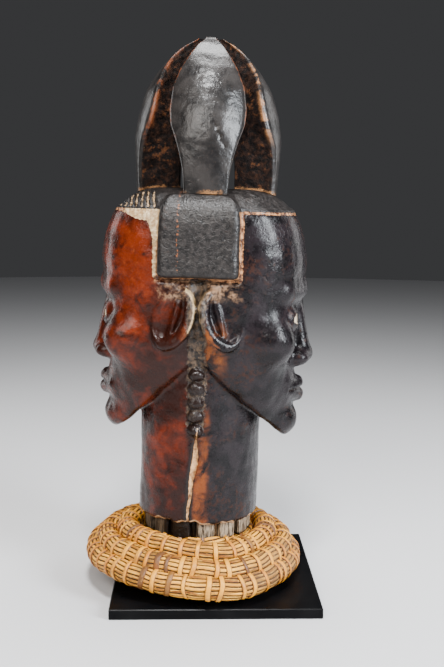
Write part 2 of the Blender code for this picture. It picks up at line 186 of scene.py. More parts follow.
def smooth_curve(at, places, values, reach):
    """A soft curve through values at places: straight runs, averaged over reach."""
    table = np.linspace(places[0], places[-1], 400)
    straight = np.interp(table, places, values)
    step = table[1] - table[0]
    half = max(1, int(reach / step))
    weights = np.hanning(2 * half + 1)
    padded = np.pad(straight, half, mode="edge")
    soft = np.convolve(padded, weights / weights.sum(), mode="valid")
    return np.interp(at, table, soft)


def face_level(share):
    """Height of a point of the face: 0 at the chin, 1 at the hairline."""
    return CHIN_HEIGHT + FACE_HEIGHT * share


BROW = face_level(2 / 3)
NOSE_BASE = face_level(1 / 3)
MOUTH = face_level(2 / 9)
HAIRLINE = face_level(1.0)
CROWN_HEIGHT = HAIRLINE + HAIR_RISE
EYE_LINE = (CHIN_HEIGHT + CROWN_HEIGHT) / 2
EYE_WIDTH = HEAD_WIDTH / 5


def head_mass(x, y, z):
    """The two skulls as one lofted form, with x and y both positive."""
    levels = [face_level(s) for s in (-0.06, 0.0, 0.06, 0.14, 0.24, 0.36, 0.52, 0.67, 0.78, 0.9, 1.0, 1.1)]
    fronts = (0.62, 0.76, 0.86, 0.84, 0.87, 0.885, 0.9, 0.96, 0.985, 0.95, 0.865, 0.72)
    sides = (0.2, 0.36, 0.52, 0.66, 0.79, 0.89, 0.94, 0.965, 0.985, 0.99, 0.95, 0.86)
    front = HEAD_HALF_LENGTH * smooth_curve(z, levels, fronts, 0.06 * FACE_HEIGHT)
    side = HEAD_WIDTH / 2 * smooth_curve(z, levels, sides, 0.06 * FACE_HEIGHT)
    middle = 0.22 * HEAD_HALF_LENGTH
    waist = 0.08 * np.clip(1.0 - x / middle, 0.0, 1.0) ** 2
    along = np.maximum(x - middle, 0.0) / (front - middle)
    across = y / (side * (1.0 - waist))
    level = (along**2.4 + across**2.4) ** (1 / 2.4)
    return (level - 1.0) * np.minimum(front - middle, side)


def jaw_line(x, z):
    """How far a point lies below the plane that runs from the chin up to the ear."""
    rise = 0.37 * FACE_HEIGHT
    run = 0.82 * HEAD_HALF_LENGTH
    length = hypot(rise, run)
    return (-(z - CHIN_HEIGHT) * run + (run - x) * rise) / length


def nose(point):
    depth = HEAD_HALF_LENGTH
    high = (0.875 * depth, 0, BROW - 0.01)
    low = (0.965 * depth, 0, NOSE_BASE + 0.012)
    bridge = capsule(point, high, low, 0.008, 0.0095)
    tip = ellipsoid(point, (0.975 * depth, 0, NOSE_BASE + 0.009), (0.01, 0.0115, 0.009))
    wing = ellipsoid(point, (0.93 * depth, 0.015, NOSE_BASE + 0.007), (0.011, 0.0078, 0.0076))
    form = smooth_min(smooth_min(bridge, tip, 0.007), wing, 0.006)
    nostril = ellipsoid(point, (0.955 * depth, 0.0085, NOSE_BASE - 0.001), (0.0065, 0.0042, 0.005))
    return form, nostril


def lips(point):
    depth = HEAD_HALF_LENGTH
    half = 0.85 * EYE_WIDTH
    corner = (0.845 * depth, half, MOUTH - 0.0005)
    upper = capsule(point, (0.935 * depth, 0.004, MOUTH + 0.005), corner, 0.0068, 0.0024)
    lower = capsule(point, (0.93 * depth, 0, MOUTH - 0.0066), corner, 0.008, 0.0024)
    parting = capsule(point, (1.0 * depth, 0, MOUTH), (0.865 * depth, half, MOUTH), 0.0014, 0.001)
    return smooth_min(upper, lower, 0.002), parting


def eye_opening(y, z):
    """How far a point lies outside the almond between the lids, seen from the front."""
    across = (y - EYE_WIDTH) / (0.5 * EYE_WIDTH)
    arch = np.clip(1.0 - across**2, 0.0, None)
    top = EYE_LINE + 0.24 * EYE_WIDTH * arch
    bottom = EYE_LINE - 0.18 * EYE_WIDTH * arch
    return np.maximum(np.maximum(z - top, bottom - z), (np.abs(across) - 1.0) * 0.5 * EYE_WIDTH)


def eyes(point, form):
    """Sockets, and lids open in an almond over each ball."""
    x, y, z = point
    depth = HEAD_HALF_LENGTH
    centre = (0.79 * depth, EYE_WIDTH, EYE_LINE)
    socket = ellipsoid(point, (0.985 * depth, EYE_WIDTH, EYE_LINE + 0.002), (0.0135, 0.021, 0.0125))
    form = carve(form, socket, 0.01)
    lids = ellipsoid(point, centre, (0.0155, 0.0185, 0.016))
    form = smooth_min(form, lids, 0.002)
    ball = ellipsoid(point, centre, (0.013, 0.016, 0.0135))
    hollow = np.maximum(eye_opening(y, z), -ball)
    return carve(form, np.maximum(hollow, centre[0] - x), 0.0006)


def face(point, form):
    depth = HEAD_HALF_LENGTH
    brow = capsule(point, (0.93 * depth, 0.012, BROW + 0.001), (0.8 * depth, 0.046, BROW), 0.0065, 0.0045)
    form = smooth_min(form, brow, 0.01)
    cheek = ellipsoid(point, (0.7 * depth, 0.64 * HEAD_WIDTH / 2, NOSE_BASE + 0.026), (0.02, 0.019, 0.02))
    form = smooth_min(form, cheek, 0.018)
    muzzle = ellipsoid(point, (0.76 * depth, 0, MOUTH + 0.002), (0.0165, 0.027, 0.023))
    form = smooth_min(form, muzzle, 0.012)
    chin = ellipsoid(point, (0.775 * depth, 0, CHIN_HEIGHT + 0.017), (0.0175, 0.02, 0.0155))
    form = smooth_min(form, chin, 0.012)
    form = eyes(point, form)
    nose_form, nostril = nose(point)
    form = carve(smooth_min(form, nose_form, 0.006), nostril, 0.002)
    lip_form, parting = lips(point)
    return carve(smooth_min(form, lip_form, 0.0025), parting, 0.0015)


def ear_place(x, z):
    """Places up and across the ear, which leans back."""
    x = x - EAR_PLACE
    z = z - (BROW - 0.5 * EAR_HEIGHT + 0.004)
    up = x * sin(EAR_LEAN) + z * cos(EAR_LEAN)
    return up, x * cos(EAR_LEAN) - z * sin(EAR_LEAN)


def ear(point):
    """A rim round a hollow with one fold. Its back edge stands off the head, its front edge lies flush."""
    x, y, z = point
    along, across = ear_place(x, z)
    tall = EAR_HEIGHT / 2
    wide = 0.6 * tall
    root = 0.9 * HEAD_WIDTH / 2
    rise = y - root - EAR_REACH * (wide - across) / (2 * wide)
    disc = (np.sqrt((along / tall) ** 2 + (across / wide) ** 2) - 1.0) * wide
    body = smooth_max(disc, rise - 0.003, 0.004)
    body = smooth_max(body, root - 0.014 - y, 0.002)
    bowl = np.sqrt((along / (0.74 * tall)) ** 2 + ((across - 0.22 * wide) / (0.72 * wide)) ** 2)
    bowl = np.maximum((bowl - 1.0) * 0.72 * wide, -0.006 - rise)
    fold_top = (0.1 * wide, -0.003, 0.5 * tall)
    fold_foot = (-0.12 * wide, -0.003, -0.5 * tall)
    fold = capsule((across, rise, along), fold_top, fold_foot, 0.0034, 0.0024)
    return smooth_min(carve(body, bowl, 0.003), fold, 0.003)


def hair_cap(point):
    """The cap of hair: flat on the crown, with a rounded shoulder down to the hairline."""
    x, y, z = point
    level = ((x / CAP_HALF_LENGTH) ** 2.6 + (y / CAP_HALF_WIDTH) ** 2.6) ** (1 / 2.6)
    side = (level - 1.0) * CAP_HALF_WIDTH
    return np.maximum(smooth_max(side, z - CROWN_HEIGHT, CAP_SHOULDER), HAIRLINE - z)


def hair_panel(point):
    """The block of hair that hangs down the side, between the two ears."""
    bottom = CROWN_HEIGHT - PANEL_DROP
    top = CROWN_HEIGHT + PANEL_CORNER
    centre = (0, 0.5 * PANEL_REACH, 0.5 * (top + bottom))
    half = (PANEL_WIDTH / 2, 0.5 * PANEL_REACH, 0.5 * (top - bottom))
    block = rounded_box(point, centre, half, PANEL_CORNER)
    return smooth_max(block, point[2] - CROWN_HEIGHT, PANEL_SHOULDER)


def braid(point):
    """A column of small knobs between the backs of the two jaws."""
    knobs = None
    for index in range(5):
        level = CHIN_HEIGHT + 0.014 + 0.0135 * index
        knob = ellipsoid(point, (0, NECK_RADIUS + 0.001, level), (0.0075, 0.005, 0.0062))
        knobs = knob if knobs is None else smooth_min(knobs, knob, 0.001)
    return knobs


def foot(x, y, z):
    """The bare end of the neck, with slots for the lashing that holds the basketry."""
    radius = np.sqrt(x * x + y * y)
    turn = np.arctan2(y, x) / (2 * pi)
    place = (turn * FOOT_SLOTS) % 1.0 - 0.5
    slot = np.abs(place) * 2 * pi * FOOT_RADIUS / FOOT_SLOTS - SLOT_WIDTH / 2
    slot = np.maximum(slot, FOOT_RADIUS - SLOT_DEPTH - radius)
    body = np.maximum(radius - FOOT_RADIUS, z - HIDE_EDGE - 0.01)
    return carve(body, slot, 0.001)


def head_quarter(x, y, z):
    """Distance to the head for the quarter with x and y positive, which the other three quarters repeat."""
    point = (x, y, z)
    form = face(point, head_mass(x, y, z))
    form = smooth_max(form, jaw_line(x, z), 0.006)
    form = smooth_max(form, z - HAIRLINE - 0.004, 0.004)
    neck = np.sqrt(x * x + y * y) - NECK_RADIUS
    neck = np.maximum(np.maximum(neck, HIDE_EDGE - z), z - face_level(0.7))
    form = smooth_min(form, neck, 0.004)
    form = smooth_min(form, ear(point), 0.004)
    hair = smooth_min(hair_cap(point), hair_panel(point), 0.003)
    form = smooth_min(form, hair, 0.0015)
    return smooth_min(form, braid(point), 0.002)


def crown_drop(x, y):
    """How far the top of the head lies below the crown at places x and y, found by halving."""
    low = np.zeros_like(x)
    high = np.full_like(x, LOBE_SEAT_SHARE * LOBE_HEIGHT)
    for _ in range(20):
        middle = 0.5 * (low + high)
        above = head_quarter(np.abs(x), np.abs(y), CROWN_HEIGHT - middle) > 0.0
        low = np.where(above, middle, low)
        high = np.where(above, high, middle)
    return high


def coil_path(turn):
    """Radius and height of the middle of the bundle after so many turns from the back of the seat."""
    slope = np.radians(18.3 + 17.6 * turn)
    radius = BASKET_RADIUS * np.sin(slope)
    low = PLATE_THICKNESS + GAP + COIL_RADIUS
    height = low + BASKET_RISE * np.cos(slope)
    pressed = PLATE_THICKNESS + SEAT_HEIGHT - 0.5 * COIL_RADIUS
    share = np.clip((radius - FOOT_RADIUS) / COIL_RADIUS, 0.0, 1.0)
    return radius, pressed + (height - pressed) * share


def around(angle, middle, width):
    """A soft hump of 1 at the middle angle, in degrees."""
    away = (np.degrees(angle) - middle + 180.0) % 360.0 - 180.0
    return np.exp(-((away / width) ** 2))


def basket_plan(angle):
    """How far out of round the basketry has gone: pushed in at the left, out at the front right."""
    dent = BASKET_DENT_SHARE * around(angle, BASKET_DENT_ANGLE, BASKET_DENT_SPREAD)
    corner = BASKET_CORNER_SHARE * around(angle, BASKET_CORNER_ANGLE, BASKET_CORNER_SPREAD)
    return 1.0 - dent + corner


def seat_lobe(points, shares, turn):
    """Bring the low end of a lobe down onto the slope of the crown, for a lobe turned about the axis."""
    x, y, z = points.T
    across = x * cos(turn) - y * sin(turn)
    along = x * sin(turn) + y * cos(turn)
    sink = crown_drop(across, along) * np.clip(1.0 - shares / LOBE_SEAT_SHARE, 0.0, 1.0)
    return np.stack([x, y, z - sink], axis=1)


# Lower edge of the hair panel, and how far out the basketry is pressed flat under the foot
PANEL_FOOT = CROWN_HEIGHT - PANEL_DROP
PRESSED_REACH = FOOT_RADIUS + 0.003

# The comb's strokes above the left face: their slant and spacing, and where they begin and are full
COMB_SLANT = 0.3
COMB_SPACING = 0.0062
COMB_TOP = HAIRLINE + 0.0185
COMB_FACE_SIDE = (-0.0405, -0.043)
COMB_PARTING = (0.008, 0.02)
COMB_FOOT = (HAIRLINE + 0.0005, HAIRLINE + 0.0025)
COMB_HEAD = (COMB_TOP, COMB_TOP - 0.005)

# Crack down the neck: heights above the foot, where it runs there, and half its width at others
CRACK_HEIGHTS = (0.018, 0.035, 0.062, 0.09, 0.112)
CRACK_PLACES = (-0.0045, -0.005, -0.002, 0.001, 0.002)
SPLIT_HEIGHTS = (0.018, 0.04, 0.06, 0.078, 0.092, 0.106)
SPLIT_WIDTHS = (0.0005, 0.0011, 0.0017, 0.0029, 0.0019, 0.0003)

# Places in the side view: a worn corner, and painted light at the temple and on the neck that brightens the
# red; their middle in x and z, and their reach
WORN_CORNER = ((-0.054, HAIRLINE - 0.004), (0.015, 0.015))
TEMPLE_PAINTED_LIGHT = ((-0.058, 0.262), (0.026, 0.052))
NECK_PAINTED_LIGHT = ((-0.036, 0.08), (0.018, 0.045))

# A lobe from its foot to its tip: shares of its height, and of its half width, radius and hollow there
LOBE_STATIONS = (0.0, 0.1, 0.2, 0.31, 0.4, 0.5, 0.64, 0.76, 0.87, 0.95, 1.0)
LOBE_WIDTHS = (0.56, 0.6, 0.68, 0.82, 0.96, 1.0, 0.93, 0.75, 0.5, 0.27, 0.1)
LOBE_FRONTS = (0.955, 0.975, 0.99, 1.0, 0.985, 0.945, 0.86, 0.72, 0.53, 0.34, 0.15)
LOBE_BACKS = (1.0, 1.0, 0.97, 0.92, 0.88, 0.84, 0.76, 0.62, 0.42, 0.24, 0.12)
LOBE_SWAYS = (0.0, 0.002, -0.001, -0.002)

# Stems round the bundle, and the section of a band of cane: across its width and out from the bundle
STEMS = 16
CANE_SECTION = ((-1.0, -0.6), (-0.92, 0.45), (-0.45, 1.0), (0.45, 1.0), (0.92, 0.45), (1.0, -0.6))


def ripple(x, y, z, size, seed):
    """A soft random-looking wave of about -1 to 1 with hollows about so far apart."""
    rng = np.random.default_rng(seed)
    total = 0.0
    for _ in range(7):
        way = rng.normal(size=3)
        way *= rng.uniform(0.7, 1.5) * 2 * pi / size / np.linalg.norm(way)
        total = total + np.sin(way[0] * x + way[1] * y + way[2] * z + rng.uniform(0, 6.28))
    return total / 3.2


def step_up(value, low, high):
    share = np.clip((value - low) / (high - low), 0.0, 1.0)
    return share * share * (3.0 - 2.0 * share)


def patch(x, z, middle, reach):
    """A soft patch of 1 at its middle, in the side view."""
    return np.exp(-(((x - middle[0]) / reach[0]) ** 2) - ((z - middle[1]) / reach[1]) ** 2)


def hair_outline(x, y, z):
    """Signed distance, in the side view, to the hair: the cap above the hairline and the panel below it."""
    panel = np.maximum(np.abs(x) - PANEL_WIDTH / 2, PANEL_FOOT - z)
    return np.minimum(HAIRLINE - z, panel)


def comb_marks(x, y, z):
    """The comb's strokes in the hair above the left face, 1 in a groove and 0 between two."""
    slant = x + COMB_SLANT * (z - HAIRLINE)
    marks = step_up(np.sin(2 * pi * slant / COMB_SPACING), 0.0, 0.9)
    marks = marks * step_up(x, *COMB_FACE_SIDE) * step_up(np.abs(y), *COMB_PARTING)
    return marks * step_up(z, *COMB_FOOT) * step_up(z, *COMB_HEAD)


def crack_distance(x, z):
    """How far a point lies outside the crack down the hide of the neck."""
    line = np.interp(z, CRACK_HEIGHTS, CRACK_PLACES)
    line = line + 0.0005 * np.sin(z * 170.0 + 0.5) + 0.0002 * np.sin(z * 900.0)
    return np.abs(x - line) - np.interp(z, SPLIT_HEIGHTS, SPLIT_WIDTHS)


def ragged_edge(x, y):
    """Height of the torn lower edge of the hide round the neck."""
    turn = np.arctan2(y, x)
    waves = 0.0016 * np.sin(3.0 * turn + 0.6) + 0.0012 * np.sin(11.0 * turn)
    return HIDE_EDGE + waves + 0.0008 * np.sin(29.0 * turn + 2.0)


def relief(x, y, z, form):
    """What weather, wear and the knife have done to the hide, the hair and the wood."""
    near = step_up(-y, 0.0, 0.02)
    form = form + 0.0005 * ripple(x, y, z, 0.045, 3) + 0.00022 * ripple(x, y, z, 0.014, 4)
    form = form + 0.003 * comb_marks(x, y, z)
    outline = hair_outline(x, y, z)
    seam = np.exp(-((outline - 0.0012) / 0.0016) ** 2) * step_up(z, 0.2, 0.24)
    form = form + 0.0011 * seam
    under = np.exp(-(((z - PANEL_FOOT + 0.002) / 0.0016) ** 2)) * (np.abs(x) < PANEL_WIDTH / 2)
    form = form + 0.003 * under * (np.abs(y) > 0.055) * (np.abs(y) < 0.079)
    strip = np.exp(-((x / 0.01) ** 2)) * step_up(z, 0.1, 0.12) * (1.0 - step_up(z, 0.245, 0.258))
    form = form + strip * (0.0007 * ripple(x, y, z, 0.006, 5) + 0.0006 * ripple(x, y, z, 0.011, 6))
    gap = crack_distance(x, z)
    crack = (1.0 - step_up(gap, -0.0005, 0.0009)) * near * (z > 0.012) * (z < 0.12)
    form = form + 0.0022 * crack
    lip = np.exp(-((gap - 0.0022) / 0.0014) ** 2) * near * (z > 0.02) * (z < 0.112)
    return form - 0.0006 * lip


def scene_head_field(step):
    """The head's distances on a fine grid, with the relief, and the grid's low corner."""
    reach_x = 1.12 * HEAD_HALF_LENGTH + 4 * step
    reach_y = PANEL_REACH + EAR_REACH + 4 * step
    xs = (np.arange(int(reach_x / step)) + 0.5) * step
    ys = (np.arange(int(reach_y / step)) + 0.5) * step
    zs = np.arange(-3 * step, CROWN_HEIGHT + 4 * step, step)
    x, y, z = np.meshgrid(xs, ys, zs, indexing="ij", sparse=True)
    quarter = head_quarter(x, y, z)
    half = np.concatenate([quarter[::-1], quarter], axis=0)
    whole = np.concatenate([half[:, ::-1], half], axis=1)
    xs = np.concatenate([-xs[::-1], xs])
    ys = np.concatenate([-ys[::-1], ys])
    x, y, z = np.meshgrid(xs, ys, zs, indexing="ij", sparse=True)
    shell = np.abs(whole) < 0.008
    px, py, pz = (np.broadcast_to(a, whole.shape)[shell] for a in (x, y, z))
    whole[shell] = relief(px, py, pz, whole[shell])
    whole = np.maximum(whole, ragged_edge(x, y) - z)
    whole = smooth_min(whole, foot(x, y, z), 0.0006)
    return np.maximum(whole, -z), (xs[0], ys[0], zs[0])


def add(name, data):
    """A new object with this data, in the scene."""
    piece = bpy.data.objects.new(name, data)
    bpy.context.scene.collection.objects.link(piece)
    return piece


def mesh_object(name, points, faces):
    mesh = bpy.data.meshes.new(name)
    mesh.from_pydata(points, [], faces)
    mesh.shade_smooth()
    return add(name, mesh)


def field_mesh(name, field, low, step):
    grid = openvdb.FloatGrid()
    grid.copyFromArray(np.ascontiguousarray(field, dtype=np.float32))
    points, triangles, quads = grid.convertToPolygons(isovalue=0.0)
    points = np.asarray(points) * step + np.asarray(low)
    faces = [face[::-1] for face in np.asarray(triangles).tolist() + np.asarray(quads).tolist()]
    return mesh_object(name, points.tolist(), faces), points


def ring_faces(rings, count, start=0, closed=False):
    """Faces between rings of points, with a cap at both ends or closed from the last ring to the first."""
    faces = []
    for ring in range(rings if closed else rings - 1):
        low = start + ring * count
        high = start + (ring + 1) % rings * count
        for place in range(count):
            after = (place + 1) % count
            faces.append((low + place, low + after, high + after, high + place))
    if not closed:
        faces.append(tuple(range(start, start + count))[::-1])
        faces.append(tuple(range(start + (rings - 1) * count, start + rings * count)))
    return faces


def paint(piece, **values):
    """Numbers at each vertex that the materials read."""
    for name, numbers in values.items():
        layer = piece.data.attributes.new(name, "FLOAT", "POINT")
        layer.data.foreach_set("value", np.ascontiguousarray(numbers, dtype=np.float32))


def stance():
    """Where the mask stands: the head's own frame in the row frame."""
    turn = Euler((0, MASK_LEAN, MASK_TURN)).to_matrix().to_4x4()
    return Matrix.Translation((MASK_X, MASK_Y, PLATE_THICKNESS + SEAT_HEIGHT)) @ turn


def settle(piece, matrix, node):
    """Put a piece in its place in the row frame, on the part's one body, in its node's stead."""
    piece.data.transform(matrix)
    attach(piece, "root")
    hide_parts(node)


def hair_marks(x, y, z):
    """Millimetres outside the hair, and how wide the torn edge of the hide is there."""
    outline = hair_outline(x, y, z)
    below = np.where(np.abs(y) > 0.0765, outline, np.maximum(outline, 0.0004))
    hair = np.where(z > HAIRLINE, HAIRLINE - z, below)
    near = step_up(-y, -0.01, 0.01)
    left = 1.0 - step_up(x, -0.045, -0.03)
    torn = 1.0 + near * (left * 1.2 + 9.5 * patch(x, z, *WORN_CORNER) + 1.7 * step_up(x, 0.0, 0.02))
    torn = torn + 2.6 * near * np.exp(-(((x + 0.043) / 0.008) ** 2)) * step_up(z, 0.25, 0.262)
    return hair * MM, torn


def face_marks(x, y, z):
    """Millimetres outside the opening of the eye, from its pupil and from the line of the mouth."""
    side = np.abs(y)
    front = np.abs(x) / HEAD_HALF_LENGTH
    eye = np.where(front > 0.78, eye_opening(side, z) * MM, FAR)
    pupil = np.hypot(side - EYE_WIDTH, z - EYE_LINE - 0.0006) * MM
    mouth = np.where((front > 0.84) & (side < 0.9 * EYE_WIDTH), np.abs(z - MOUTH) * MM, FAR)
    return eye, pupil, mouth


def ear_rim(x, y, z):
    """Millimetres from the back and upper rim of the ear."""
    up, across = ear_place(np.abs(x), z)
    wide = 0.3 * EAR_HEIGHT
    disc = (np.hypot(up / (EAR_HEIGHT / 2), across / wide) - 1.0) * wide
    on_rim = (np.abs(y) > 0.055) & (across < 0.002) & (up > -0.006)
    return np.where(on_rim, np.abs(disc + 0.0006) * MM, FAR)


def make_head():
    step = 0.0019
    field, low = scene_head_field(step)
    head, points = field_mesh("janus_head_carved", field, low, step)
    x, y, z = points.T
    hair, torn = hair_marks(x, y, z)
    eye, pupil, mouth = face_marks(x, y, z)
    gap = np.where((y < 0) & (z < 0.116) & (z > 0.015), crack_distance(x, z) * MM, FAR)
    # Painted light: patches at the temple and low on the neck that make the red brighter, as if lit there
    glow = patch(x, z, *TEMPLE_PAINTED_LIGHT) + 0.45 * patch(x, z, *NECK_PAINTED_LIGHT)
    strip = np.exp(-((x / 0.0105) ** 2)) * step_up(z, 0.104, 0.118) * (1.0 - step_up(z, 0.252, 0.262))
    strip = strip * step_up(np.abs(y), 0.045, 0.06)
    knobs = braid((np.abs(x), np.abs(y), z)) * MM
    bare = (ragged_edge(x, y) - z) * MM
    paint(head, hx=x * MM, hy=y * MM, hz=z * MM, hair=hair, torn=torn, gap=gap, eye=eye, pupil=pupil)
    paint(head, glow=glow, strip=strip, rim=ear_rim(x, y, z), mouth=mouth, knobs=knobs, bare=bare)
    settle(head, stance(), "janus_head")
    head.data.materials.append(hide_material())
    return head


def lobe_ring(level, width, out, back, arc, flank):
    """A ring of a lobe: x, y, z, the share from its middle to its edge, and the share down its flank."""
    bulge = LOBE_BULGE * (2 * width / LOBE_WIDTH) ** 2.5
    inner = max(min(0.92 * width, back - LOBE_GAP / 2), 0.0012)
    ring = []
    for across in np.linspace(-1.0, 1.0, arc):
        edge = 1.0 - 0.5 * max(abs(across) - 0.9, 0.0)
        ring.append((width * across * edge, bulge * across * across - out, level, abs(across), 0.0))
    side = []
    for step in np.linspace(0.0, 1.0, flank)[1:]:
        sag = 0.0016 * sin(pi * step)
        depth = -(out - bulge + (back - out + bulge) * step)
        side.append((width + (inner - width) * step - sag, depth, level, 1.0, step))
    hollow = [(inner * share, -back, level, 1.0, 1.0) for share in np.linspace(1.0, -1.0, 7)[1:-1]]
    return ring + side + hollow + [(-x, *rest) for x, *rest in reversed(side)]


def lobe_wear(index, x, y, z, edge, rough):
    """How far a lobe's points move: wear on the front, rough split flanks, and the first lobe's crack."""
    out = np.stack([x * 0.25, y, np.zeros_like(x)], axis=1)
    out /= np.linalg.norm(out, axis=1, keepdims=True) + 1e-9
    front = (rough == 0.0) * (1.0 - edge**6)
    wear = front * (0.00022 * ripple(x, y, z, 0.02, 10 + index) + 0.0001 * ripple(x, y, z, 0.007, 20 + index))
    hack = 0.0007 * ripple(x, y, z, 0.012, 30 + index) + 0.0006 * ripple(x, y, z, 0.006, 40 + index)
    hack = 0.9 * hack * (rough > 0.0) * np.sin(pi * np.clip(rough, 0, 1))
    crack = np.abs(x - 0.01 - (0.05 - z) * 0.45 - 0.0008 * np.sin(z * 700.0)) - 0.0005
    crack = (1.0 - step_up(crack, 0.0, 0.001)) * front * (z > 0.036) * (z < 0.06) * (index == 0)
    move = (wear - 0.0009 * crack)[:, None] * out
    move[:, 0] += hack * np.sign(x)
    move *= step_up(z, 0.0, 0.004)[:, None]
    move[:, 0] += LOBE_SWAYS[index] * step_up(z, 0.7 * LOBE_HEIGHT, LOBE_HEIGHT)
    return move, crack


def make_lobe(index, side):
    """A lobe as in the solids, with a worn surface and rough split flanks."""
    rings, arc, flank = ((110, 41, 15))
    shares = np.linspace(0.0, 1.0, rings)
    widths = LOBE_WIDTH / 2 * smooth_curve(shares, LOBE_STATIONS, LOBE_WIDTHS, 0.03)
    outs = LOBE_RADIUS * smooth_curve(shares, LOBE_STATIONS, LOBE_FRONTS, 0.04)
    backs = LOBE_HOLLOW * smooth_curve(shares, LOBE_STATIONS, LOBE_BACKS, 0.04)
    rows = []
    for level, width, out, back in zip(LOBE_HEIGHT * shares, widths, outs, backs):
        rows += lobe_ring(level, width, out, back, arc, flank)
    x, y, z, edge, rough = np.array(rows).T
    count = len(rows) // rings
    move, crack = lobe_wear(index, x, y, z, edge, rough)
    points = np.stack([x, y, z], axis=1) + move
    middle = np.array([0.0, -0.5 * (outs[0] + backs[0]), 0.0])
    scales = (0.02, 0.2, 0.4, 0.6, 0.75, 0.9)
    below = len(scales)
    points = np.concatenate([middle + (points[:count] - middle) * scale for scale in scales] + [points])
    numbers = (edge, rough, crack, z, x)
    edge, rough, crack, z, x = (np.concatenate([np.tile(a[:count], below), a]) for a in numbers)
    rough[: below * count] = 1.0
    turn = LOBE_TURN + 2 * pi * index / LOBE_COUNT
    points = seat_lobe(points, np.repeat(np.concatenate([np.zeros(below), shares]), count), turn)
    lobe = mesh_object(f"carved_lobe_{side}", points.tolist(), ring_faces(rings + below, count))
    lobe.data.set_sharp_from_angle(angle=radians(50))
    paint(lobe, edge=edge, rough=rough, lz=z * MM, gap=np.where(crack > 0.2, 0.0, 5.0))
    paint(lobe, pale=(x < 0) * (index == 1))
    place = Matrix.Translation((0, 0, CROWN_HEIGHT + LOBE_CLEARANCE)) @ Matrix.Rotation(turn, 4, "Z")
    settle(lobe, stance() @ place, f"hair_lobe_{side}")
    return lobe


def basket_line(turn):
    """The middle of the bundle in the row frame, after so many turns."""
    angle = 2 * pi * turn + pi / 2
    middle, height = coil_path(turn)
    radius = middle * basket_plan(angle)
    height = height + BASKET_LIFT * around(angle, BASKET_LIFT_ANGLE, BASKET_LIFT_SPREAD)
    return np.stack([BASKET_X + radius * np.cos(angle), BASKET_Y + radius * np.sin(angle), height], axis=-1)


def basket_frame(turn):
    """Position, forward, outward and upward directions along the bundle."""
    here = basket_line(turn)
    ahead = basket_line(turn + 0.002) - basket_line(turn - 0.002)
    ahead /= np.linalg.norm(ahead, axis=-1, keepdims=True)
    up = np.array([0.0, 0.0, 1.0])
    out = np.cross(ahead, up)
    out /= np.linalg.norm(out, axis=-1, keepdims=True)
    return here, ahead, out, np.cross(out, ahead)


def coil_size(turn):
    return COIL_RADIUS * (1.0 - 0.45 * np.clip((turn - COIL_END + 0.12) / 0.12, 0.0, 1.0))


def band_places(rng):
    """Turns of the coil at which a band goes round the bundle, unevenly spaced."""
    turns = []
    turn = COIL_START + 0.02
    while turn < COIL_END - 0.02:
        turns.append(turn)
        turn += rng.uniform(0.007, 0.0205) / (2 * pi * float(coil_path(turn)[0]))
    return np.array(turns)


def press_down(points):
    """Flatten the bundle under the neck's foot and on the plate."""
    up = stance().inverted()[2]
    above = points @ np.array(up[:3]) + up[3]
    radial = np.hypot(points[..., 0] - MASK_X, points[..., 1] - MASK_Y)
    points[..., 2] -= np.where((radial < PRESSED_REACH) & (above > -GAP), above + GAP, 0.0)
    points[..., 2] = np.maximum(points[..., 2], PLATE_THICKNESS + GAP)


def make_basket():
    """A fluted bundle of stems on the coil's path, squeezed where each band of cane goes round it."""
    rng = np.random.default_rng(7)
    turns = band_places(rng)
    rows, columns = ((1150, 84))
    along = np.linspace(COIL_START, COIL_END, rows)
    here, _, out, up = basket_frame(along)
    length = np.concatenate([[0.0], np.cumsum(np.linalg.norm(np.diff(here, axis=0), axis=1))])
    run, way = np.meshgrid(length, np.linspace(0.0, 2 * pi, columns, endpoint=False), indexing="ij")
    twist = way + 0.1 * np.sin(run * 60.0) + 0.06 * np.sin(run * 173.0 + 1.0)
    flute = np.abs(np.sin(0.5 * STEMS * twist))
    stray = np.sin(3.0 * way + run * 45.0) * np.sin(5.0 * way - run * 71.0 + 2.0)
    squeeze = np.zeros(rows)
    for band in turns:
        squeeze += np.exp(-(((length - np.interp(band, along, length)) / 0.0035) ** 2))
    squeeze = np.clip(squeeze, 0.0, 1.0)[:, None]
    radius = coil_size(along)[:, None] * (0.9 + 0.1 * flute + 0.036 * stray - 0.05 * squeeze)
    ends = np.clip(np.minimum(run, length[-1] - run) / 0.004, 0.0, 1.0)
    radius = radius * (0.3 + 0.7 * np.sqrt(ends))
    side = np.cos(way)[..., None] * out[:, None, :] + np.sin(way)[..., None] * up[:, None, :]
    points = here[:, None, :] + radius[..., None] * side
    press_down(points)
    points = points.reshape(-1, 3)
    coil = mesh_object("stem_coil", points.tolist(), ring_faces(rows, columns))
    lap = np.repeat(along, columns)
    paint(coil, run=run.ravel() * MM, way=twist.ravel() * STEMS / (2 * pi))
    paint(coil, flute=flute.ravel(), lap=lap, bx=points[:, 0] * MM)
    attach(coil, "root")
    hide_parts("coiled_basket")
    return coil, make_bands(turns, rng)


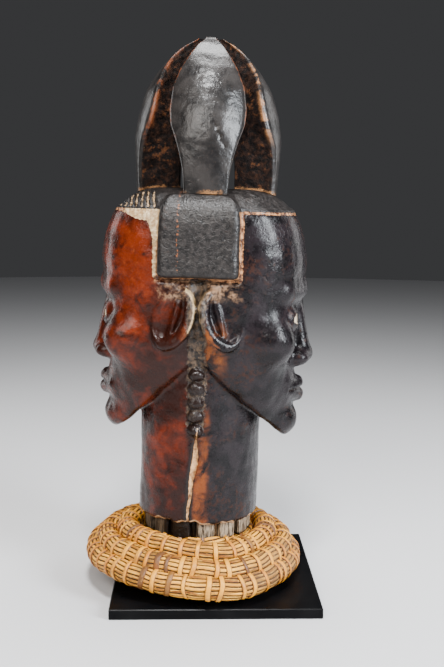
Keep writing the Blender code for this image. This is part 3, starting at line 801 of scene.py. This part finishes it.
def make_bands(turns, rng):
    """Bands of split cane round the bundle, each a closed strip with rounded edges."""
    points, faces, shade, sweep, rim = [], [], [], [], []
    segments = 26
    count = len(CANE_SECTION)
    for number, turn in enumerate(turns):
        here, ahead, out, up = (v[0] for v in basket_frame(np.array([turn])))
        size = float(coil_size(turn))
        width = rng.uniform(0.0019, 0.0031)
        thick = rng.uniform(0.0007, 0.001)
        slant = rng.uniform(-0.22, 0.22)
        tone = rng.uniform(0.0, 1.0)
        faces += ring_faces(segments, count, len(points), closed=True)
        for segment in range(segments):
            angle = 2 * pi * segment / segments
            side = cos(angle) * out + sin(angle) * up
            wander = slant * size * sin(angle + 0.7) + 0.0004 * sin(3 * angle + number)
            swell = 0.0003 * sin(2 * angle + 2.1 * number)
            for across, rise in CANE_SECTION:
                radius = size * 0.985 + swell + thick * rise
                point = here + ahead * (wander + width * across) + side * radius
                point[2] = max(point[2], PLATE_THICKNESS + GAP)
                if hypot(point[0] - MASK_X, point[1] - MASK_Y) < PRESSED_REACH:
                    point[2] = min(point[2], PLATE_THICKNESS + SEAT_HEIGHT - GAP)
                points.append(tuple(point))
                rim.append(abs(across))
        shade += [tone] * (segments * count)
        sweep += [2 * pi * i / segments * size * MM for i in range(segments) for _ in CANE_SECTION]
    bands = mesh_object("cane_bands", points, faces)
    bands.data.set_sharp_from_angle(angle=radians(60))
    paint(bands, tone=shade, sweep=sweep, rim=rim)
    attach(bands, "root")
    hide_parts("coiled_basket")
    return bands


class Value:
    """A number in a material, which takes part in sums with ordinary signs."""

    def __init__(self, nodes, socket):
        self.nodes = nodes
        self.socket = socket

    def __add__(self, other):
        return self.nodes.calc("ADD", self, other)

    def __sub__(self, other):
        return self.nodes.calc("SUBTRACT", self, other)

    def __rsub__(self, other):
        return self.nodes.calc("SUBTRACT", other, self)

    def __mul__(self, other):
        return self.nodes.calc("MULTIPLY", self, other)


class Nodes:
    """Short hand for building a material's nodes, in which lengths are in millimetres."""

    def __init__(self, name):
        self.material = bpy.data.materials.new(name)
        self.material.use_nodes = True
        self.tree = self.material.node_tree
        self.shader = self.tree.nodes["Principled BSDF"]

    def put(self, socket, value):
        if isinstance(value, Value):
            self.tree.links.new(value.socket, socket)
        else:
            socket.default_value = (*value, 1.0) if isinstance(value, tuple) else value

    def node(self, kind, *values):
        """A new node with the values in its first sockets."""
        node = self.tree.nodes.new(kind)
        for socket, value in zip(node.inputs, values):
            self.put(socket, value)
        return node

    def read(self, name):
        """A number that was painted on the vertices."""
        node = self.node("ShaderNodeAttribute")
        node.attribute_name = name
        return Value(self, node.outputs["Fac"])

    def place(self):
        coordinates = self.node("ShaderNodeTexCoord")
        mapping = self.node("ShaderNodeMapping", Value(self, coordinates.outputs["Object"]))
        mapping.inputs["Scale"].default_value = (MM, MM, MM)
        return Value(self, mapping.outputs["Vector"])

    def join(self, x, y, z):
        return Value(self, self.node("ShaderNodeCombineXYZ", x, y, z).outputs[0])

    def noise(self, vector, scale, detail=3.0, rough=0.55, twist=0.0):
        node = self.node("ShaderNodeTexNoise", vector)
        names = ("Scale", "Detail", "Roughness", "Distortion")
        for name, number in zip(names, (scale, detail, rough, twist)):
            node.inputs[name].default_value = number
        return Value(self, node.outputs["Fac"])

    def cells(self, vector, scale):
        node = self.node("ShaderNodeTexVoronoi", vector)
        node.inputs["Scale"].default_value = scale
        return Value(self, node.outputs["Distance"])

    def calc(self, operation, *values):
        node = self.node("ShaderNodeMath", *values)
        node.operation = operation
        return Value(self, node.outputs[0])

    def most(self, a, b):
        return self.calc("MAXIMUM", a, b)

    def off(self, value, middle=0.0):
        """How far the value is from the middle, either way."""
        return self.calc("ABSOLUTE", value - middle)

    def swing(self, noise, amount):
        """Noise about zero, with about half the amount each way."""
        return (noise - 0.5) * amount

    def ramp(self, value, low, high, start=0.0, end=1.0):
        """Softly from start to end while the value goes from low to high."""
        node = self.node("ShaderNodeMapRange", value, low, high, start, end)
        node.interpolation_type = "SMOOTHSTEP"
        return Value(self, node.outputs[0])

    def span(self, value, reach):
        """A ramp over a reach in metres, as the shapes have it."""
        return self.ramp(value, reach[0] * MM, reach[1] * MM)

    def mix(self, share, a, b):
        node = self.node("ShaderNodeMix", share)
        node.data_type = "RGBA"
        self.put(node.inputs[6], a)
        self.put(node.inputs[7], b)
        return Value(self, node.outputs[2])

    def fade(self, value, low, high, a, b):
        """Colour a at the low value, colour b at the high one."""
        return self.mix(self.ramp(value, low, high), a, b)

    def bump(self, height, distance):
        node = self.node("ShaderNodeBump")
        node.inputs["Strength"].default_value = 1.0
        node.inputs["Distance"].default_value = distance
        self.put(node.inputs["Height"], height)
        return Value(self, node.outputs[0])

    def finish(self, colour, roughness, normal=None, specular=None):
        names = ("Base Color", "Roughness", "Normal", "Specular IOR Level")
        for name, value in zip(names, (colour, roughness, normal, specular)):
            if value is not None:
                self.put(self.shader.inputs[name], value)
        return self.material


class HideNodes(Nodes):
    """The head's material, with the places and the noises that its colours share."""

    def __init__(self):
        super().__init__("dark_hide_worn")
        self.hx, self.hy, self.hz = (self.read(name) for name in ("hx", "hy", "hz"))
        self.p = self.join(self.hx, self.hy, self.hz)
        self.broad = self.noise(self.p, 0.02)
        self.mottle = self.noise(self.p, 0.055, 4.0, 0.6, 0.6)
        self.fine = self.noise(self.p, 0.25, 4.0, 0.65)
        self.grain = self.noise(self.p, 0.9, 3.0, 0.6)
        self.wobble = self.swing(self.fine, 7.0)
        self.fray = self.swing(self.grain, 2.4)
        self.turn = self.hx + self.wobble * 1.6


def comb_grooves(n):
    """The same strokes for the material, each a little wavier than its groove."""
    slant = n.hx + (n.hz - HAIRLINE * MM) * COMB_SLANT + n.wobble * 0.2
    wave = n.ramp(n.calc("SINE", slant * (2 * pi / (COMB_SPACING * MM))), 0.2, 0.9)
    wave = wave * n.span(n.hx, COMB_FACE_SIDE) * n.span(n.off(n.hy), COMB_PARTING)
    return wave * n.span(n.hz, COMB_FOOT) * n.span(n.hz, COMB_HEAD)


def hide_sides(n):
    """Red-brown hide on the left, which turns to slate on the right of a wavy line near the middle."""
    # Painted light: the patches at the temple and on the neck push the red towards its brighter colours, as
    # if lit there
    warm = n.mottle * 0.9 + n.broad * 0.5 + n.read("glow") * 0.34
    warm = n.ramp(warm, 0.66, 1.06)
    red = n.mix(warm, (0.016, 0.0036, 0.0019), (0.13, 0.0145, 0.0022))
    bright = n.ramp(n.fine, 0.56, 0.84) * n.ramp(warm, 0.2, 0.8)
    red = n.mix(bright, red, (0.26, 0.048, 0.0064))
    red = n.fade(n.mottle, 0.4, 0.24, red, (0.008, 0.0035, 0.0028))
    slate = n.fade(n.mottle, 0.35, 0.65, (0.0028, 0.0021, 0.0027), (0.0105, 0.0075, 0.009))
    slate = n.fade(n.broad * n.fine, 0.28, 0.4, slate, (0.022, 0.007, 0.0038))
    return n.fade(n.turn, -12.0, -3.0, red, slate)


def side_patches(n, colour):
    """Amber down the neck and behind the jaw, and a worn band under the hair panel."""
    amber = n.ramp(n.off(n.turn, 6.0), 10.0, 3.0) * n.ramp(n.hz, 150.0, 110.0)
    amber = amber * n.ramp(n.mottle, 0.38, 0.62)
    colour = n.mix(amber * 0.85, colour, (0.17, 0.04, 0.0065))
    behind = n.ramp(n.off(n.turn, 8.0), 24.0, 12.0) * n.ramp(n.hz, 160.0, 185.0)
    behind = behind * n.ramp(n.hz, 225.0, 200.0) * n.ramp(n.mottle, 0.46, 0.62)
    colour = n.mix(behind, colour, (0.17, 0.046, 0.008))
    under = n.ramp(n.off(n.hz, PANEL_FOOT * MM - 10.0), 13.0, 6.0)
    under = under * n.ramp(n.off(n.hx), 46.0, 34.0) * n.ramp(n.mottle, 0.42, 0.58)
    worn = n.fade(n.fine, 0.36, 0.62, (0.02, 0.012, 0.009), (0.26, 0.15, 0.085))
    return n.mix(under, colour, worn)


def bare_strip(n):
    """Wood where the hide has gone, between the two heads."""
    bare = n.fade(n.fine, 0.4, 0.65, (0.0075, 0.0052, 0.0042), (0.085, 0.052, 0.03))
    return n.fade(n.grain, 0.62, 0.74, bare, (0.3, 0.2, 0.11))


def hair_felt(n, comb):
    """Matt black hair with a few red dots in a row, scraped pale where the comb went."""
    felt = n.fade(n.fine, 0.35, 0.7, (0.0045, 0.0038, 0.0038), (0.0185, 0.015, 0.0138))
    felt = n.fade(n.grain * n.mottle, 0.36, 0.46, felt, (0.042, 0.019, 0.011))
    felt = n.fade(n.grain, 0.72, 0.78, felt, (0.12, 0.06, 0.032))
    dots = n.ramp(n.off(n.hx, -19.0), 1.3, 0.6) * n.ramp(n.noise(n.p, 0.42, 1.0), 0.57, 0.61)
    felt = n.mix(dots * n.ramp(n.hz, 340.0, 335.0), felt, (0.17, 0.055, 0.018))
    scraped = n.ramp(comb, 0.4, 0.85) * n.ramp(n.fine, 0.34, 0.56)
    return n.mix(scraped, felt, (0.4, 0.27, 0.15))


def torn_edge(n):
    """The torn edge of the hide round the hair: its share, how much of it is rawhide, and its colour."""
    edge = n.read("torn") + n.wobble * 0.35 - n.read("hair")
    edge = n.ramp(edge + n.fray * 0.6, 0.0, 0.5)
    wide = n.ramp(n.read("torn"), 3.5, 4.6)
    rawhide = n.fade(n.fine, 0.42, 0.66, (0.32, 0.2, 0.095), (0.62, 0.48, 0.29))
    tan = n.fade(n.fine, 0.4, 0.62, (0.04, 0.014, 0.008), (0.42, 0.2, 0.09))
    return (edge * n.ramp(n.hz, 225.0, 245.0), wide, n.mix(wide, tan, rawhide))


def ear_rims(n, colour):
    """The rims of the ears, rubbed pale on the near side."""
    rim = n.ramp(n.read("rim") + n.fray, 1.1, 0.5) * n.ramp(n.hx, 5.0, -5.0, 0.15, 1.0)
    return n.mix(rim * n.ramp(n.hy, 10.0, -10.0), colour, (0.4, 0.28, 0.15))


def neck_crack(n, colour):
    """The crack down the neck: painted shade along its left side, and pale wood in the cleft."""
    # Painted shade: the hide beside the crack is darkened on its left side
    soot_and_shade = n.ramp(n.read("gap"), 5.0, 1.0) * n.ramp(n.hx, 1.0, -1.5) * 0.8
    colour = n.mix(soot_and_shade, colour, NEAR_BLACK)
    cleft = n.ramp(n.read("gap") + n.fray * 0.35, 0.5, 0.0)
    return n.mix(cleft, colour, n.fade(n.fine, 0.35, 0.6, (0.18, 0.075, 0.028), (0.52, 0.3, 0.14)))


def eyes_and_mouth(n, colour):
    """Pale eyeballs with a dark iris, and a dark line between the lips."""
    ball = n.fade(n.fine, 0.4, 0.7, (0.44, 0.33, 0.22), (0.6, 0.49, 0.35))
    ball = n.fade(n.read("pupil"), 3.9, 3.2, ball, NEAR_BLACK)
    colour = n.fade(n.read("eye"), 0.3, -0.3, colour, ball)
    return n.fade(n.read("mouth"), 1.4, 0.4, colour, (0.01, 0.006, 0.005))


def foot_wood(n):
    """The bare foot: long grain, with painted shade: black standing in for a hollow at the left of the
    middle, and darker towards the left.
    """
    place = n.join(n.hx * 3.0, n.hy * 3.0, n.hz * 0.35)
    grain = n.noise(place, 0.22, 4.0, 0.6)
    wood = n.fade(grain, 0.38, 0.64, (0.035, 0.026, 0.018), (0.4, 0.31, 0.21))
    # Painted shade: black where a hollow would lie in shadow, and the left of the foot darkened
    hollow = n.ramp(n.hx, -36.0, -28.0) * n.ramp(n.hx, 8.0, 2.0)
    return n.mix(n.most(hollow, n.ramp(n.hx, -20.0, -40.0, 0.0, 0.6)), wood, (0.007, 0.0045, 0.0032))


def hide_material():
    n = HideNodes()
    strip = n.ramp(n.read("strip") + n.swing(n.fine, 0.9), 0.42, 0.62)
    knobs = n.ramp(n.read("knobs") + n.fray, 1.6, 0.2)
    hair = n.ramp(n.read("hair") + n.fray * 0.5, 0.35, -0.05)
    bare = n.read("bare")
    comb = comb_grooves(n)
    edge, wide, hide_edge = torn_edge(n)
    colour = side_patches(n, hide_sides(n))
    colour = n.mix(strip, colour, bare_strip(n))
    colour = n.mix(knobs, colour, (0.01, 0.0052, 0.0042))
    colour = n.mix(edge, colour, hide_edge)
    colour = n.mix(hair, colour, hair_felt(n, comb))
    colour = eyes_and_mouth(n, neck_crack(n, ear_rims(n, colour)))
    hem = n.ramp(bare + n.fray * 0.5, -2.5, -1.3)
    colour = n.mix(hem * n.ramp(n.mottle, 0.32, 0.48), colour, (0.42, 0.25, 0.13))
    foot_share = n.ramp(bare, 0.4, 1.3)
    colour = n.mix(foot_share, colour, foot_wood(n))
    dull = n.most(hair, strip * (1.0 - knobs))
    dull = n.most(dull, n.most(foot_share, edge * wide))
    gloss = n.ramp(n.fine, 0.3, 0.75, 0.22, 0.36)
    matt = n.ramp(n.fine, 0.3, 0.75, 0.32, 0.5)
    roughness = gloss * (1.0 - dull) + matt * dull
    wrinkle = n.noise(n.p, 0.38, 2.0, 0.5, 0.8)
    crease = n.noise(n.p, 0.13, 2.0, 0.5, 1.6)
    skin = n.cells(n.p, 0.75) * 0.16 + crease * 0.9 + n.grain * 0.1
    height = wrinkle * 0.34 + skin * dull - comb * 0.5
    return n.finish(colour, roughness, n.bump(height, 0.001), n.ramp(dull, 0.0, 1.0, 0.22, 0.34))


def lobe_material():
    n = Nodes("lobe_hide_worn")
    p = n.place()
    fine = n.noise(p, 0.22, 4.0, 0.62)
    grain = n.noise(p, 0.8, 3.0, 0.6)
    mottle = n.noise(p, 0.05, 3.0, 0.6, 0.5)
    edge, rough, height_mm = n.read("edge"), n.read("rough"), n.read("lz")
    skin = n.fade(mottle, 0.36, 0.66, (0.006, 0.0054, 0.0054), (0.0215, 0.019, 0.018))
    skin = n.fade(grain, 0.58, 0.78, skin, (0.034, 0.024, 0.019))
    flank = n.ramp(rough, 0.02, 0.1)
    wood = n.fade(fine, 0.4, 0.66, (0.003, 0.002, 0.0018), (0.02, 0.009, 0.0055))
    wood = n.fade(fine * mottle, 0.31, 0.4, wood, (0.058, 0.022, 0.0085))
    colour = n.mix(flank, skin, wood)
    # Orange-brown worn rims on the upper edges of the lobes; on the right lobe's near edge the rim is pale, a
    # painted highlight
    rim = n.ramp(edge + n.swing(fine, 0.22), 0.93, 1.0) * n.ramp(rough, 0.2, 0.03)
    rim = rim * n.ramp(mottle, 0.44, 0.58) * n.ramp(height_mm, 38.0, 60.0) * 0.75
    colour = n.mix(rim, colour, n.mix(n.read("pale"), (0.17, 0.045, 0.012), (0.3, 0.14, 0.06)))
    chip = n.ramp(edge, 0.93, 0.99) * n.ramp(grain, 0.7, 0.76) * n.ramp(rough, 0.25, 0.05)
    colour = n.mix(chip, colour, (0.52, 0.4, 0.2))
    hem = n.ramp(height_mm + n.swing(grain, 7.0), 2.6, 0.8) * n.ramp(mottle, 0.42, 0.6)
    colour = n.mix(hem, colour, (0.2, 0.095, 0.038))
    colour = n.fade(n.read("gap"), 3.0, 0.5, colour, (0.008, 0.006, 0.005))
    crease = n.noise(p, 0.1, 2.0, 0.5, 1.4)
    wrinkle = n.noise(p, 0.38, 2.0, 0.5, 0.8)
    height = wrinkle * 0.2 + crease * 0.35 + (fine + grain) * flank * 0.8
    roughness = n.ramp(fine * 0.5 + flank * 0.6, 0.15, 0.95, 0.28, 0.72)
    return n.finish(colour, roughness, n.bump(height, 0.001), n.ramp(flank, 0.0, 1.0, 0.3, 0.08))


def straw_material():
    n = Nodes("straw_stems")
    run, way, lap = n.read("run"), n.read("way"), n.read("lap")
    stem = n.calc("FLOOR", way)
    piece = n.noise(n.join(run * 0.018, stem * 3.7, lap * 0.6), 1.0, 2.0)
    fibre = n.noise(n.join(run * 0.1, way * 5.0, lap), 1.0, 4.0, 0.65)
    fleck = n.noise(n.join(run * 0.3, way * 2.4, lap), 1.0, 3.0, 0.6)
    soot_and_shade = n.noise(n.place(), 0.022)
    colour = n.fade(piece, 0.3, 0.7, (0.18, 0.05, 0.005), (0.86, 0.37, 0.032))
    colour = n.fade(fibre, 0.48, 0.7, colour, (1.0, 0.54, 0.09))
    colour = n.fade(fibre, 0.42, 0.26, colour, (0.045, 0.014, 0.003))
    # Painted shade: the valleys between the stems darkened, in patches
    painted_valley_shade = n.ramp(n.read("flute"), 0.72, 0.26) * n.ramp(fleck, 0.22, 0.42)
    colour = n.mix(painted_valley_shade, colour, (0.009, 0.003, 0.0011))
    colour = n.mix(n.ramp(soot_and_shade, 0.58, 0.72, 0.0, 0.65), colour, (0.05, 0.022, 0.01))
    aged = n.ramp(n.read("bx"), 5.0, 70.0) * n.ramp(soot_and_shade, 0.36, 0.56) * 0.6
    colour = n.mix(aged, colour, (0.13, 0.075, 0.04))
    normal = n.bump(fibre + fleck * 0.5, 0.0009)
    return n.finish(colour, n.ramp(fibre, 0.3, 0.8, 0.5, 0.74), normal, 0.22)


def cane_material():
    n = Nodes("cane_band")
    tone, sweep = n.read("tone"), n.read("sweep")
    grain = n.noise(n.join(sweep * 0.06, tone * 90.0, 0.0), 1.0)
    fine = n.noise(n.place(), 0.55, 3.0, 0.6)
    colour = n.fade(tone, 0.0, 0.8, (0.54, 0.19, 0.01), (0.74, 0.32, 0.02))
    colour = n.fade(tone, 0.84, 0.9, colour, (0.12, 0.05, 0.018))
    colour = n.mix(n.ramp(grain, 0.45, 0.7, 0.0, 0.7), colour, (0.28, 0.09, 0.012))
    colour = n.mix(n.ramp(fine, 0.6, 0.8, 0.0, 0.5), colour, (0.86, 0.48, 0.11))
    colour = n.fade(n.read("rim"), 0.55, 0.95, colour, (0.11, 0.036, 0.008))
    return n.finish(colour, n.ramp(fine, 0.3, 0.7, 0.3, 0.48), n.bump(fine, 0.0004), 0.32)


def plate_material():
    n = Nodes("black_base_satin")
    fine = n.noise(n.place(), 1.2, 3.0, 0.6)
    smear = n.noise(n.place(), 0.018, 3.0, 0.6, 0.8)
    colour = n.fade(smear, 0.35, 0.7, (0.0022, 0.0022, 0.0026), (0.0046, 0.0046, 0.005))
    return n.finish(colour, n.ramp(smear, 0.3, 0.7, 0.26, 0.36), n.bump(fine, 0.00005), 0.06)


def floor_material():
    return Nodes("pale_floor").finish((0.56, 0.56, 0.57), 0.9)


def make_camera():
    """The photograph's camera: about 0.93 m in front, a little above the middle, looking slightly down."""
    data = bpy.data.cameras.new("camera")
    data.sensor_width = SENSOR
    data.lens = FOCAL_PIXELS / FRAME_HEIGHT * SENSOR
    camera = add("camera", data)
    forward = Vector((sin(YAW) * cos(PITCH), cos(YAW) * cos(PITCH), -sin(PITCH)))
    right = Vector((cos(YAW), -sin(YAW), 0.0))
    up = right.cross(forward)
    across = right * cos(ROLL) + up * sin(ROLL)
    above = up * cos(ROLL) - right * sin(ROLL)
    turn = Matrix((across, above, -forward)).transposed()
    camera.matrix_world = Matrix.Translation(EYE) @ turn.to_4x4()
    bpy.context.scene.camera = camera


def light(name, place, aim, size, power, colour=(1.0, 1.0, 1.0)):
    data = bpy.data.lights.new(name, "AREA")
    data.shape = "RECTANGLE"
    data.size, data.size_y = size
    data.energy = power
    data.color = colour
    lamp = add(name, data)
    lamp.location = place
    lamp.rotation_mode = "QUATERNION"
    lamp.rotation_quaternion = (Vector(place) - Vector(aim)).to_track_quat("Z", "Y")


def make_studio():
    world = bpy.data.worlds.new("studio")
    world.use_nodes = True
    background = world.node_tree.nodes["Background"]
    background.inputs["Color"].default_value = (0.62, 0.63, 0.66, 1.0)
    background.inputs["Strength"].default_value = 0.07
    bpy.context.scene.world = world
    bm = bmesh.new()
    bmesh.ops.create_circle(bm, cap_ends=True, segments=64, radius=FLOOR_RADIUS)
    mesh = bpy.data.meshes.new("floor")
    bm.to_mesh(mesh)
    bm.free()
    floor = add("floor", mesh)
    floor.data.materials.append(floor_material())
    light("key_right", (0.91, -0.74, 0.68), (0, 0, 0.37), (0.34, 0.7), 40.0, (0.9, 0.95, 1.0))
    light("key_left", (-0.66, -1.02, 0.85), (0, 0, 0.3), (0.5, 0.7), 12.0, (1.0, 0.96, 0.91))
    light("front", (-0.05, -0.68, 1.5), (0, -0.05, 0.42), (0.26, 0.22), 34.0)
    light("low", (-0.25, -1.1, 0.95), (0, 0, 0.06), (0.4, 0.3), 8.0, (1.0, 0.97, 0.93))
    light("edge_left", (-0.95, 0.6, 0.45), (0, 0, 0.3), (0.3, 0.9), 4.0)
    light("edge_right", (0.95, 0.6, 0.5), (0, 0, 0.3), (0.3, 0.9), 3.0)
    light("top", (0.05, 0.2, 1.4), (0, 0, 0.35), (0.5, 0.4), 16.0)


def main():
    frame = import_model()
    make_camera()
    make_studio()
    make_head()
    skin = lobe_material()
    for index, side in enumerate(("front", "right", "back", "left")):
        make_lobe(index, side).data.materials.append(skin)
    coil, bands = make_basket()
    coil.data.materials.append(straw_material())
    bands.data.materials.append(cane_material())
    plate = frame["nodes"]["base_plate"]
    plate.data.materials.clear()
    plate.data.materials.append(plate_material())
    bpy.context.view_layer.update()


main()
